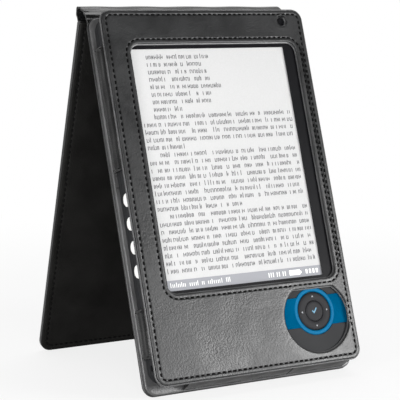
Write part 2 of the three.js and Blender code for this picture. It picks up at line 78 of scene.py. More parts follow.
# ---- Sizes in millimetres that the node boxes don't give ----
RIM = 0.7                    # lower layer showing round the face panel
CORNER = 6.0                 # corner radius of the face, back and cover
SCREEN_WINDOW = (13.75, 43.3, 7.15, 18.1)   # left, bottom, right and top margins in the face
SCREEN_CORNER = 5.5
PAD_WINDOW = (19.6, 18.6)    # half width and half height of the round window
PAD_WINDOW_DROP = 2.9
PAD_WINDOW_CHORD = 14.7
LENS_WINDOW_RADIUS = 2.9
STITCH_PITCH = 3.0
STITCH_LENGTH = 1.8
STITCH_RADIUS = 0.46
SEAM = 2.3                   # seam line in from a cut edge
SPINE_LAP = 9.0              # spine leather lapped over the back and the cover
LOOP_RISE = 12.2             # reach of the curve that lifts the spine's loop
SPINE_RINGS = 72             # cross sections along the spine leather
BAND_HALF_HEIGHT = 7.65      # blue band away from the pad
KEY_HALF = 3.3               # half height of a page key's cap
KEY_REACH = 3.0              # how far a page key's crescent bulges
PAGE_ROWS = 29
PAGE_PITCH = 3.88


# ---- Frames ----

def axes(inward):
    """Rotation whose columns are +X, the inward direction and the upward one."""
    x = Vector((1, 0, 0))
    y = Vector(inward).normalized()
    return Matrix((x, y, x.cross(y))).transposed()


def span(node, rotation):
    """Lowest and highest corner of a node along the axes of a rotation, in metres."""
    points = [rotation.transposed() @ v.co for v in nodes[node].data.vertices]
    low = Vector([min(p[i] for p in points) for i in range(3)])
    high = Vector([max(p[i] for p in points) for i in range(3)])
    return low, high


def local_frame(rotation, origin):
    """Matrix from local millimetres to the row frame's metres."""
    return Matrix.Translation(rotation @ origin) @ rotation.to_4x4() @ Matrix.Scale(0.001, 4)


def local_box(node, matrix):
    inverse = matrix.inverted()
    points = [inverse @ v.co for v in nodes[node].data.vertices]
    low = Vector([min(p[i] for p in points) for i in range(3)])
    high = Vector([max(p[i] for p in points) for i in range(3)])
    return low, high


inward = -Vector(mounts["holder_face"]["axis"])
holder_turn = axes(inward)
rim_low, rim_high = span("fascia_lining", holder_turn)
face_low, _ = span("front_fascia", holder_turn)
HOLDER = local_frame(holder_turn, Vector(((rim_low.x + rim_high.x) / 2, face_low.y, rim_low.z)))

cover_turn = axes(-Vector(mounts["cover_outer_face"]["axis"]))
hinge = Vector(joints["cover_hinge"]["pos_m"])
COVER = Matrix.Translation(hinge) @ cover_turn.to_4x4() @ Matrix.Scale(0.001, 4)

FACE_W = (rim_high.x - rim_low.x) * 1000
FACE_H = (rim_high.z - rim_low.z) * 1000
LEFT, RIGHT = -FACE_W / 2, FACE_W / 2


# ---- Mesh helpers ----

def finish_mesh(name, points, faces, matrix, material, sharp=50):
    """Object from local points and faces, with outward normals and smooth shading broken at sharp edges."""
    bm = bmesh.new()
    verts = [bm.verts.new(matrix @ Vector(p)) for p in points]
    for face in faces:
        try:
            bm.faces.new([verts[i] for i in face])
        except ValueError:
            pass
    bmesh.ops.remove_doubles(bm, verts=bm.verts, dist=1e-7)
    bmesh.ops.recalc_face_normals(bm, faces=bm.faces)
    limit = math.radians(sharp)
    for edge in bm.edges:
        edge.smooth = edge.calc_face_angle(0.0) < limit
    for face in bm.faces:
        face.smooth = True
    mesh = bpy.data.meshes.new(name)
    bm.to_mesh(mesh)
    bm.free()
    mesh.materials.append(material)
    obj = bpy.data.objects.new(name, mesh)
    bpy.context.scene.collection.objects.link(obj)
    return obj


def ride(obj, body, *replaced, slot=None):
    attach(obj, body)
    if replaced:
        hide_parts(*replaced)
    return obj


def arc(cx, cz, radius, start, end, steps):
    angles = np.linspace(math.radians(start), math.radians(end), steps)
    return [(cx + radius * math.cos(a), cz + radius * math.sin(a)) for a in angles]


def rounded(left, bottom, right, top, radius, inset=0.0, steps=9):
    """Loop of a rounded rectangle, drawn in by inset."""
    left, right = left + inset, right - inset
    bottom, top = bottom + inset, top - inset
    r = max(radius - inset, 0.05)
    return (arc(right - r, top - r, r, 0, 90, steps) + arc(left + r, top - r, r, 90, 180, steps)
            + arc(left + r, bottom + r, r, 180, 270, steps) + arc(right - r, bottom + r, r, 270, 360, steps))


def ring_faces(start_a, start_b, count):
    """Quads between two rings of the same count."""
    return [(start_a + i, start_a + (i + 1) % count, start_b + (i + 1) % count, start_b + i) for i in range(count)]


def panel(loops, back=None):
    """Closed panel from loops. Each loop is (function of inset giving x, z points, profile of (inset, y)).

    A profile runs from the back edge to the face. The flat parts are filled between the loops.
    """
    points, faces, fronts, backs = [], [], [], []
    for loop, profile in loops:
        rings = []
        for inset, y in profile:
            ring = [(x, y, z) for x, z in loop(inset)]
            rings.append(len(points))
            points += ring
            count = len(ring)
        for a, b in zip(rings, rings[1:]):
            faces += ring_faces(a, b, count)
        backs.append((rings[0], count))
        fronts.append((rings[-1], count))
    for ends in (backs, fronts):
        index = [start + i for start, count in ends for i in range(count)]
        lines = [[Vector((points[start + i][0], points[start + i][2], 0)) for i in range(count)]
                 for start, count in ends]
        faces += [tuple(index[k] for k in tri) for tri in tessellate_polygon(lines)]
    return points, faces


def loft(rings):
    """Closed solid through rings of points, capped at both ends."""
    count = len(rings[0])
    points = [p for ring in rings for p in ring]
    faces = []
    for k in range(len(rings) - 1):
        faces += ring_faces(k * count, (k + 1) * count, count)
    faces.append(tuple(range(count)))
    faces.append(tuple(range((len(rings) - 1) * count, len(rings) * count)))
    return points, faces


def lathe(profile, centre, steps=64):
    """Closed solid turned round an axis along y. The profile is (radius, y) and closes on itself."""
    points, faces = [], []
    for radius, y in profile:
        points += [(centre[0] + radius * math.cos(2 * math.pi * i / steps), y,
                    centre[1] + radius * math.sin(2 * math.pi * i / steps)) for i in range(steps)]
    count = len(profile)
    for k in range(count):
        faces += ring_faces(k * steps, ((k + 1) % count) * steps, steps)
    return points, faces


def dome(profile, centre, steps=64):
    """Closed solid turned round an axis along y, from the back rim to a point on the axis in front."""
    rings = [[(centre[0] + r * math.cos(2 * math.pi * i / steps), y, centre[1] + r * math.sin(2 * math.pi * i / steps))
              for i in range(steps)] for r, y in profile]
    return loft(rings)


def join(parts):
    points, faces = [], []
    for p, f in parts:
        base = len(points)
        points += p
        faces += [tuple(base + i for i in face) for face in f]
    return points, faces


def spaced(loop, pitch, closed=True):
    """Points and directions at an even pitch along a loop of x, z points."""
    pts = np.array(loop + [loop[0]] if closed else loop, float)
    steps = np.linalg.norm(np.diff(pts, axis=0), axis=1)
    keep = np.concatenate([[True], steps > 1e-9])
    pts = pts[keep]
    along = np.concatenate([[0], np.cumsum(np.linalg.norm(np.diff(pts, axis=0), axis=1))])
    count = max(2, round(along[-1] / pitch))
    places = (np.arange(count) + 0.5) * along[-1] / count
    result = []
    for s in places:
        k = min(np.searchsorted(along, s) - 1, len(pts) - 2)
        share = (s - along[k]) / (along[k + 1] - along[k])
        spot = pts[k] + share * (pts[k + 1] - pts[k])
        direction = (pts[k + 1] - pts[k]) / np.linalg.norm(pts[k + 1] - pts[k])
        result.append((spot, direction))
    return result


def capsule(centre, direction, length, radius, sides=8):
    """Thread: a short round-ended rod at centre along direction."""
    axis = Vector(direction).normalized()
    side = axis.orthogonal().normalized()
    other = axis.cross(side)
    rings = []
    half = length / 2
    for along, r in ((-half, 0.45), (-half + 0.35 * radius, 0.85), (-half + radius, 1.0), (0, 1.08),
                     (half - radius, 1.0), (half - 0.35 * radius, 0.85), (half, 0.45)):
        rings.append([tuple(Vector(centre) + axis * along + (side * math.cos(a) + other * math.sin(a)) * radius * r)
                      for a in np.linspace(0, 2 * math.pi, sides, endpoint=False)])
    return loft(rings)


def stitches(loop, depth, closed=True, pitch=STITCH_PITCH):
    """Threads along a loop of x, z points at a depth y."""
    parts = []
    for spot, direction in spaced(loop, pitch, closed):
        jitter = random.uniform(-0.04, 0.04)
        tilt = random.uniform(-0.06, 0.06)
        heading = (direction[0] - tilt * direction[1], 0, direction[1] + tilt * direction[0])
        parts.append(capsule((spot[0], depth + jitter * 0.3, spot[1]), heading, STITCH_LENGTH, STITCH_RADIUS))
    return join(parts)


# ---- Materials ----

def new_material(name, color, roughness, metallic=0.0, specular=0.5, coat=0.0, coat_roughness=0.1, sheen=0.0):
    material = bpy.data.materials.new(name)
    material.use_nodes = True
    shader = material.node_tree.nodes["Principled BSDF"]
    shader.inputs["Base Color"].default_value = (*color, 1)
    shader.inputs["Roughness"].default_value = roughness
    shader.inputs["Metallic"].default_value = metallic
    shader.inputs["Specular IOR Level"].default_value = specular
    shader.inputs["Coat Weight"].default_value = coat
    shader.inputs["Coat Roughness"].default_value = coat_roughness
    shader.inputs["Sheen Weight"].default_value = sheen
    return material


class Graph:
    """Short way to add and link nodes in one material."""

    def __init__(self, material):
        self.tree = material.node_tree
        self.shader = self.tree.nodes["Principled BSDF"]
        self.coords = self.tree.nodes.new("ShaderNodeTexCoord").outputs["Object"]

    def link(self, a, b):
        self.tree.links.new(a, b)

    def node(self, kind, inputs=None, **settings):
        made = self.tree.nodes.new(kind)
        for key, value in settings.items():
            setattr(made, key, value)
        for key, value in (inputs or {}).items():
            if isinstance(value, bpy.types.NodeSocket):
                self.link(value, made.inputs[key])
            else:
                made.inputs[key].default_value = value
        return made

    def noise(self, scale, detail=3.0, rough=0.55, vector=None):
        made = self.node("ShaderNodeTexNoise", {"Vector": vector or self.coords, "Scale": scale, "Detail": detail,
                                                "Roughness": rough})
        return made.outputs["Fac"]

    def ramp(self, value, low, high, start=0.3, end=0.7):
        """Value from start to end mapped to low to high."""
        return self.node("ShaderNodeMapRange", {"Value": value, "From Min": start, "From Max": end,
                                                "To Min": low, "To Max": high}).outputs["Result"]

    def mix(self, factor, a, b):
        made = self.node("ShaderNodeMix", data_type="RGBA")
        for socket, value in ((made.inputs[0], factor), (made.inputs[6], a), (made.inputs[7], b)):
            if isinstance(value, bpy.types.NodeSocket):
                self.link(value, socket)
            else:
                socket.default_value = value if isinstance(value, float) else (*value, 1)
        return made.outputs[2]

    def bump(self, height, strength, distance, normal=None):
        inputs = {"Height": height, "Strength": strength, "Distance": distance}
        if normal is not None:
            inputs["Normal"] = normal
        return self.node("ShaderNodeBump", inputs).outputs["Normal"]


def leather(name, color, roughness=0.42, grain=0.3, mottle=0.25, cell=1050.0, specular=0.5, sheen=0.0):
    """Smooth finished leather: pebbled grain, soft unevenness and patchy gloss."""
    material = new_material(name, color, roughness, specular=specular, sheen=sheen)
    g = Graph(material)
    warp = g.noise(260.0, 2.0)
    shifted = g.node("ShaderNodeVectorMath", {0: g.coords, 1: (0.0, 0.0, 0.0)}, operation="ADD")
    offset = g.node("ShaderNodeCombineXYZ", {"X": g.ramp(warp, -0.0006, 0.0006), "Z": g.ramp(warp, 0.0006, -0.0006)})
    g.link(offset.outputs["Vector"], shifted.inputs[1])
    cells = g.node("ShaderNodeTexVoronoi", {"Vector": shifted.outputs["Vector"], "Scale": cell}, feature="F1")
    pebbles = cells.outputs["Distance"]
    fine = g.noise(3800.0, 2.0)
    soft = g.noise(55.0, 3.0)
    broad = g.noise(16.0, 2.0)
    normal = g.bump(broad, 0.35 * mottle, 0.004)
    normal = g.bump(soft, 0.5 * mottle, 0.0012, normal)
    normal = g.bump(pebbles, grain, 0.00022, normal)
    normal = g.bump(fine, grain * 0.35, 0.00006, normal)
    g.link(normal, g.shader.inputs["Normal"])
    dark = tuple(c * 0.78 for c in color)
    light = tuple(min(1.0, c * 1.3 + 0.002) for c in color)
    g.link(g.mix(g.ramp(soft, 0.0, 1.0, 0.35, 0.65), dark, light), g.shader.inputs["Base Color"])
    g.link(g.ramp(soft, roughness - 0.05, roughness + 0.07), g.shader.inputs["Roughness"])
    return material


def plastic(name, color, roughness, texture=2600.0, strength=0.15, specular=0.5, vary=0.1, coat=0.0):
    """Moulded plastic with a fine spark texture and slight unevenness."""
    material = new_material(name, color, roughness, specular=specular, coat=coat)
    g = Graph(material)
    fine = g.noise(texture, 2.0)
    broad = g.noise(45.0, 2.0)
    g.link(g.bump(fine, strength, 0.00005), g.shader.inputs["Normal"])
    dark = tuple(c * (1 - vary) for c in color)
    light = tuple(min(1.0, c * (1 + vary)) for c in color)
    g.link(g.mix(g.ramp(broad, 0.0, 1.0), dark, light), g.shader.inputs["Base Color"])
    g.link(g.ramp(broad, roughness - 0.04, roughness + 0.05), g.shader.inputs["Roughness"])
    return material


def metal(name, color, roughness, stretch=(1.0, 1.0, 30.0)):
    """Brushed or rolled metal with streaks."""
    material = new_material(name, color, roughness, metallic=1.0)
    g = Graph(material)
    scaled = g.node("ShaderNodeMapping", {"Vector": g.coords, "Scale": stretch}).outputs["Vector"]
    streaks = g.noise(300.0, 3.0, vector=scaled)
    g.link(g.bump(streaks, 0.12, 0.00005), g.shader.inputs["Normal"])
    g.link(g.ramp(streaks, roughness - 0.07, roughness + 0.1), g.shader.inputs["Roughness"])
    return material


def thread(name, color):
    """Twisted sewing thread."""
    material = new_material(name, color, 0.8, specular=0.1)
    g = Graph(material)
    twist = g.node("ShaderNodeTexWave", {"Vector": g.coords, "Scale": 900.0, "Distortion": 1.5},
                   bands_direction="DIAGONAL")
    g.link(g.bump(twist.outputs["Fac"], 0.4, 0.00012), g.shader.inputs["Normal"])
    g.link(g.mix(g.ramp(g.noise(700.0), 0.0, 1.0), tuple(c * 0.6 for c in color), color),
           g.shader.inputs["Base Color"])
    return material


def paper(name, color):
    """Reflective e-paper: matte, faintly speckled."""
    material = new_material(name, color, 0.6, specular=0.3)
    g = Graph(material)
    speckle = g.noise(2400.0, 2.0)
    g.link(g.mix(g.ramp(speckle, 0.0, 1.0), tuple(c * 0.95 for c in color), tuple(min(1, c * 1.03) for c in color)),
           g.shader.inputs["Base Color"])
    g.link(g.bump(speckle, 0.05, 0.00003), g.shader.inputs["Normal"])
    return material


def circuit_board(name, color):
    """Solder mask with faint tracks."""
    material = new_material(name, color, 0.45)
    g = Graph(material)
    cells = g.node("ShaderNodeTexVoronoi", {"Vector": g.coords, "Scale": 260.0}, feature="F1", distance="MANHATTAN")
    tracks = g.ramp(cells.outputs["Distance"], 1.0, 0.0, 0.3, 0.38)
    g.link(g.mix(tracks, color, tuple(min(1, c * 1.8 + 0.01) for c in color)), g.shader.inputs["Base Color"])
    g.link(g.bump(tracks, 0.3, 0.00005), g.shader.inputs["Normal"])
    return material


FACE_LEATHER = leather("face_leather", (0.0105, 0.0108, 0.0112), 0.36, grain=0.22, mottle=0.3, specular=0.5)
SHINY_LEATHER = leather("strap_leather", (0.0045, 0.0046, 0.0048), 0.21, grain=0.2, mottle=0.35, specular=0.5)
# Cut-edge leather is a lighter grey than the face leather. Part of that is the edge's own tone and part is a painted
# highlight for the bright lines that light draws along the rolled rims and window lips.
EDGE_LEATHER_PAINTED_HIGHLIGHT = leather("edge_leather_painted_highlight", (0.060, 0.060, 0.061), 0.32, grain=0.25, mottle=0.3, specular=0.6)
LINING_LEATHER = leather("lining_leather", (0.0040, 0.0038, 0.0034), 0.55, grain=0.25, mottle=0.2, specular=0.16)
THREAD = thread("black_thread", (0.0025, 0.0025, 0.0025))
SHELL = plastic("reader_shell", (0.018, 0.0185, 0.020), 0.5, specular=0.12)
GLOSS_BLACK = plastic("gloss_black", (0.005, 0.005, 0.006), 0.42, strength=0.04, specular=0.08)
BLUE = plastic("accent_blue", (0.0, 0.070, 0.155), 0.5, vary=0.04, specular=0.0)
HALO_BLUE = plastic("halo_blue", (0.006, 0.115, 0.240), 0.5, vary=0.04, specular=0.05)
WHITE_KEY = plastic("white_key", (0.82, 0.82, 0.80), 0.3, strength=0.03, vary=0.03)
PAD_GREY = plastic("pad_grey", (0.020, 0.020, 0.022), 0.5, vary=0.06, specular=0.1)
MARK_GREY = plastic("mark_grey", (0.25, 0.26, 0.28), 0.5, vary=0.05)
MARK_BLUE = plastic("mark_blue", (0.06, 0.22, 0.34), 0.45, vary=0.05)
PAPER = paper("display_paper", (0.47, 0.47, 0.47))
INK = plastic("page_ink", (0.045, 0.045, 0.05), 0.6, strength=0.02)
BAR_GREY = plastic("status_grey", (0.235, 0.24, 0.26), 0.55, strength=0.02, vary=0.03)
BOARD = plastic("pressed_board", (0.15, 0.10, 0.055), 0.85, texture=900.0, strength=0.5, vary=0.25)
STEEL = metal("plated_steel", (0.55, 0.56, 0.57), 0.3)
FOIL = metal("silver_foil", (0.6, 0.6, 0.61), 0.38, stretch=(8.0, 1.0, 1.0))
CIRCUIT = circuit_board("circuit_green", (0.02, 0.12, 0.05))
AMBER = plastic("amber_film", (0.40, 0.16, 0.03), 0.35, strength=0.03)
BACKPLANE = plastic("backplane_glass", (0.33, 0.38, 0.36), 0.15, strength=0.0, coat=0.4)

SLOT_MATERIALS = {
    "leather": FACE_LEATHER, "leather_edge": EDGE_LEATHER_PAINTED_HIGHLIGHT, "lining": LINING_LEATHER, "stiff_board": BOARD,
    "shell_plastic": SHELL, "gloss_black": GLOSS_BLACK, "accent_blue": BLUE, "key_white": WHITE_KEY,
    "display_paper": PAPER, "display_glass": BACKPLANE, "steel": STEEL, "circuit": CIRCUIT, "amber_film": AMBER,
    "silver_foil": FOIL,
}
for part in record["subparts"]:
    materials = nodes[part["node"]].data.materials
    materials.clear()
    materials.append(SLOT_MATERIALS[part["material_slot"]])


# ---- Leather holder ----

screen_left, screen_bottom = LEFT + SCREEN_WINDOW[0], SCREEN_WINDOW[1]
screen_right, screen_top = RIGHT - SCREEN_WINDOW[2], FACE_H - SCREEN_WINDOW[3]
pad_low, pad_high = local_box("dpad_ring", HOLDER)
pad_centre = ((pad_low.x + pad_high.x) / 2, (pad_low.z + pad_high.z) / 2)
pad_radius = (pad_high.x - pad_low.x) / 2
lens_low, lens_high = local_box("status_lens", HOLDER)
lens_centre = ((lens_low.x + lens_high.x) / 2, (lens_low.z + lens_high.z) / 2)
panel_back = local_box("front_fascia", HOLDER)[1].y


def pad_window(inset):
    """Round window with a flat top edge; inset moves the edge out into the leather."""
    wide, high = PAD_WINDOW[0] + inset, PAD_WINDOW[1] + inset
    chord = PAD_WINDOW_CHORD + inset
    cx, cz = pad_centre[0], pad_centre[1] - PAD_WINDOW_DROP
    start = math.asin(chord / high)
    turns = np.linspace(math.pi - start, 2 * math.pi + start, 72)
    ring = [(cx + wide * math.cos(a), cz + high * math.sin(a)) for a in turns]
    width = ring[-1][0] - ring[0][0]
    top = [(ring[-1][0] - width * k / 10, cz + chord) for k in range(1, 10)]
    return ring + top


def edge_profile(back, roll=0.45, seam=None, face=0.0):
    """(inset, y) from the back edge over a rounded cut edge to the face, with a sunk seam line."""
    profile = [(0.12, back), (0.0, back - 0.12), (0.0, face + roll), (0.05, face + roll * 0.5),
               (0.18, face + roll * 0.17), (roll, face), (roll + 0.35, face - 0.04)]
    if seam:
        profile += [(seam - 0.75, face - 0.03), (seam - 0.45, face + 0.02), (seam - 0.15, face + 0.12),
                    (seam + 0.15, face + 0.12), (seam + 0.45, face + 0.02), (seam + 0.8, face)]
    profile.append(((seam or roll) + 1.3, face))
    return profile


def make_face():
    outer = lambda d: rounded(LEFT + RIM, RIM, RIGHT - RIM, FACE_H - RIM, CORNER - RIM, d)
    window = lambda d: rounded(screen_left, screen_bottom, screen_right, screen_top, SCREEN_CORNER, -d)
    lens = lambda d: arc(lens_centre[0], lens_centre[1], LENS_WINDOW_RADIUS + d, 0, 352.5, 48)
    points, faces = panel([
        (outer, edge_profile(panel_back, seam=SEAM)),
        (window, edge_profile(panel_back, seam=SEAM)),
        (pad_window, edge_profile(panel_back)),
        (lens, edge_profile(panel_back, roll=0.3)),
    ])
    ride(finish_mesh("face_panel", points, faces, HOLDER, FACE_LEATHER), "holder", "front_fascia", slot="leather")
    threads = join([stitches(outer(SEAM), 0.02), stitches(window(SEAM), 0.02)])
    ride(finish_mesh("face_stitching", *threads, HOLDER, THREAD), "holder")


def make_rim():
    low, high = local_box("fascia_lining", HOLDER)
    outer = lambda d: rounded(LEFT, 0, RIGHT, FACE_H, CORNER, d)
    # The rim shows 0.5 mm inside each window, and its lighter grey there is a painted highlight along the cut lips.
    grow = 0.5
    window = lambda d: rounded(screen_left, screen_bottom, screen_right, screen_top, SCREEN_CORNER, grow - d)
    pad = lambda d: pad_window(d - grow)
    lens = lambda d: arc(lens_centre[0], lens_centre[1], LENS_WINDOW_RADIUS - grow + d, 0, 352.5, 48)
    front = panel_back + 0.05
    rolled = [(0.55, high.y), (0.18, high.y - 0.05), (0.0, high.y - 0.35), (0.0, front - 0.15), (0.12, front - 0.38),
              (0.32, front - 0.45), (0.52, front - 0.38), (0.62, front - 0.1), (0.66, front + 0.05), (1.6, front + 0.1)]
    flat = [(0.1, high.y), (0.0, high.y - 0.1), (0.0, front + 0.2), (0.1, front + 0.1), (1.2, front + 0.1)]
    points, faces = panel([(outer, rolled), (window, flat), (pad, flat), (lens, flat)])
    ride(finish_mesh("face_rim", points, faces, HOLDER, EDGE_LEATHER_PAINTED_HIGHLIGHT), "holder", "fascia_lining", slot="leather_edge")


def side_wall(name, node, side, ends=True, ridges=3, wave=0.12):
    """Bulging side band between the face and the back. side is -1 left, 1 right."""
    low, high = local_box(node, HOLDER)
    inner = high.x if side < 0 else low.x
    outer = low.x if side < 0 else high.x
    count, rows = 30, max(12, int((high.z - low.z) / 1.2))
    rings = []
    for r in range(rows + 1):
        z = low.z + (high.z - low.z) * r / rows
        near_end = min(z - low.z, high.z - z)
        hem = 0.28 * math.exp(-((near_end - 1.0) / 0.9) ** 2) if ends else 0.0
        close = 1.0 - 0.35 * math.exp(-near_end / 0.5)
        ring = []
        for c in range(count + 1):
            t = c / count
            bulge = math.sin(math.pi * t) ** 0.55
            ridge = 0.34 * abs(math.cos(math.pi * ridges * (t - 0.5))) ** 2.5 * math.sin(math.pi * t) ** 0.6 - 0.12
            ripple = wave * math.sin(z * 0.33 + 5 * t) * math.sin(math.pi * t)
            depth = (abs(outer - inner) - 0.45) * bulge * close + ridge + ripple + hem * math.sin(math.pi * t)
            ring.append((inner + side * (0.35 + max(depth, 0.05)), low.y + (high.y - low.y) * t, z))
        ring += [(inner, high.y - (high.y - low.y) * k / 6, z) for k in range(7)]
        rings.append(ring)
    return ride(finish_mesh(name, *loft(rings), HOLDER, SHINY_LEATHER, sharp=60), "holder", node, slot="leather")


def strap_threads():
    """Threads along the rear edge and at the ends of the side straps."""
    parts = []
    for node in ("left_upper_strap", "left_lower_strap"):
        low, high = local_box(node, HOLDER)
        x = low.x + 0.85
        for k in range(int((high.z - low.z - 3) / 2.4)):
            z = low.z + 2.2 + 2.4 * k
            parts.append(capsule((x + 0.35, high.y - 0.9, z), (0, 0, 1), 1.4, 0.22, 6))
        for z in (low.z + 1.1, high.z - 1.1):
            for k in range(3):
                parts.append(capsule((x - 0.55, low.y + 2.2 + 2.6 * k, z), (0, 1, 0), 1.5, 0.24, 6))
    ride(finish_mesh("strap_stitching", *join(parts), HOLDER, THREAD), "holder")


def cross_wall(name, node, lower):
    """Wall along the lower or upper edge: a soft band lofted from one end to the other."""
    low, high = local_box(node, HOLDER)
    cols = max(20, int((high.x - low.x) / 2))
    rings = []
    tilt = (high.z - low.z - 1.1) if lower else 0.0
    for c in range(cols + 1):
        x = low.x + (high.x - low.x) * c / cols
        near_end = min(x - low.x, high.x - x)
        hem = 0.2 * math.exp(-((near_end - 0.9) / 0.8) ** 2)
        outer_side, inner_side = [], []
        for k in range(17):
            t = k / 16
            y = low.y + (high.y - low.y) * t
            top = high.z - tilt * t
            swell = (0.35 + hem + 0.10 * math.sin(x * 0.4 + 4 * t)) * math.sin(math.pi * t)
            if lower:
                outer_side.append((x, y, top - 1.05 - swell))
                inner_side.append((x, y, top))
            else:
                outer_side.append((x, y, high.z + swell * 0.8))
                inner_side.append((x, y, low.z))
        rings.append(outer_side + inner_side[::-1])
    ride(finish_mesh(name, *loft(rings), HOLDER, SHINY_LEATHER, sharp=60), "holder", node, slot="leather")


def back_plate(name, node_names, front, back, inset, material, slot, seam=None, facing=1):
    """Plate of the back with rolled edges. facing is 1 when its shown face looks back."""
    low, high = local_box("back_leather", HOLDER)
    loop = lambda d: rounded(low.x, low.z, high.x, high.z, CORNER, inset + d)
    flat, edge = (back, front) if facing > 0 else (front, back)
    step = 1 if facing > 0 else -1
    profile = [(1.4, edge), (0.25, edge), (0.0, edge + step * 0.25), (0.0, flat - step * 0.4),
               (0.12, flat - step * 0.14), (0.42, flat), (1.3, flat)]
    if seam:
        profile += [(seam - 0.6, flat), (seam - 0.1, flat - step * 0.2), (seam + 0.1, flat - step * 0.2),
                    (seam + 0.6, flat), (seam + 1.5, flat)]
    points, faces = panel([(loop, profile)])
    ride(finish_mesh(name, points, faces, HOLDER, material), "holder", *node_names, slot=slot)
    if seam:
        threads = stitches(loop(seam), flat - step * 0.1)
        ride(finish_mesh(name + "_stitching", *threads, HOLDER, THREAD), "holder")


def make_holder():
    make_face()
    make_rim()
    side_wall("side_strap_upper", "left_upper_strap", -1)
    side_wall("side_strap_lower", "left_lower_strap", -1)
    side_wall("side_wall_right", "right_wall", 1)
    strap_threads()
    cross_wall("lower_wall_left", "bottom_wall_left", True)
    cross_wall("lower_wall_right", "bottom_wall_right", True)
    cross_wall("upper_wall", "top_wall", False)
    outer_low, outer_high = local_box("back_leather", HOLDER)
    _, board_high = local_box("back_board", HOLDER)
    lining_low, _ = local_box("back_lining", HOLDER)
    back_plate("back_outer", ["back_leather"], outer_low.y - 0.1, outer_high.y, 0.0, FACE_LEATHER, "leather", seam=3.0)
    # The inner back's rolled edge also gets the lighter grey edge leather, which paints a highlight on that edge.
    back_plate("back_inner", ["back_board", "back_lining"], lining_low.y + 0.15, board_high.y + 0.1, 0.5,
               EDGE_LEATHER_PAINTED_HIGHLIGHT, "leather", facing=-1)


# ---- Cover ----

def make_cover():
    low, high = local_box("cover_leather", COVER)
    lining_low, lining_high = local_box("cover_lining", COVER)
    foot = high.z
    points = [COVER.inverted() @ v.co for v in nodes["cover_leather"].data.vertices]
    near_top = [p.x for p in points if p.z < low.z + 8]
    near_foot = [p.x for p in points if p.z > high.z - 8]
    top_middle = (min(near_top) + max(near_top)) / 2
    foot_middle = (min(near_foot) + max(near_foot)) / 2
    half = (max(near_foot) - min(near_foot)) / 2
    slope = (foot_middle - top_middle) / (high.z - low.z)

    def outline(d):
        """Square at the hinge, round at the foot, and slightly narrower at the hinge."""
        r = CORNER - d
        side = half - d
        loop = (arc(-side + r, foot - d - r, r, 180, 90, 9) + arc(side - r, foot - d - r, r, 90, 0, 9)
                + arc(side - 1.0, low.z - 0.3 + d + 1.0, 1.0, 0, -90, 5)
                + arc(-side + 1.0, low.z - 0.3 + d + 1.0, 1.0, 270, 180, 5))
        narrow = [(x * (1 - 0.030 * (1 - (z - low.z) / (foot - low.z))), z) for x, z in loop]
        return [(x + top_middle + slope * (z - low.z), z) for x, z in narrow]

    def half_profile(edge, flat, roll):
        step = 1 if flat > edge else -1
        return [(0.35, edge), (0.0, edge + step * 0.15), (0.0, flat - step * roll), (0.15, flat - step * roll * 0.35),
                (0.5, flat - step * 0.03), (1.4, flat + step * 0.02), (SEAM, flat), (SEAM + 0.45, flat - step * 0.1),
                (SEAM + 0.7, flat - step * 0.22), (SEAM + 0.95, flat - step * 0.22), (SEAM + 1.2, flat - step * 0.08),
                (SEAM + 1.7, flat), (SEAM + 3.0, flat)]

    middle = lining_low.y - 0.12
    outer = panel([(outline, half_profile(middle, low.y, 0.9))])
    inner = panel([(outline, half_profile(middle + 0.04, lining_high.y, 0.6))])
    ride(finish_mesh("cover_outer", *outer, COVER, FACE_LEATHER), "cover", "cover_leather", "cover_board",
         slot="leather")
    ride(finish_mesh("cover_inner", *inner, COVER, LINING_LEATHER), "cover", "cover_lining", slot="lining")
    seam = outline(SEAM + 0.82)
    threads = join([stitches(seam, lining_high.y - 0.10), stitches(seam, low.y + 0.10)])
    ride(finish_mesh("cover_stitching", *threads, COVER, THREAD), "cover")


# ---- Spine ----

def spine_path():
    """Points (y, z) of the spine's middle line at rest, from the back panel over the loop and down the cover."""
    _, back_high = local_box("back_leather", HOLDER)
    back_y = back_high.y + 0.35
    lower = [(back_y, back_high.z - SPINE_LAP + k * 1.2) for k in range(8)]
    inverse = HOLDER.inverted()
    low, _ = local_box("cover_leather", COVER)
    down = [inverse @ (COVER @ Vector((0, low.y - 0.3, z))) for z in np.linspace(1.5, SPINE_LAP + 0.5, 8)]
    start = Vector(lower[-1])
    end = Vector((down[0].y, down[0].z))
    # Cubic curve from the back panel to the cover, over the top of the loop.
    p1 = start + Vector((0.30, 0.95)) * LOOP_RISE
    p2 = end + Vector((0.35, 0.94)) * LOOP_RISE * 0.95
    arch = []
    for t in np.linspace(0, 1, 26)[1:-1]:
        point = start * (1 - t) ** 3 + p1 * 3 * t * (1 - t) ** 2 + p2 * 3 * t * t * (1 - t) + end * t ** 3
        arch.append((point.x, point.y))
    return lower + arch + [(p.y, p.z) for p in down]


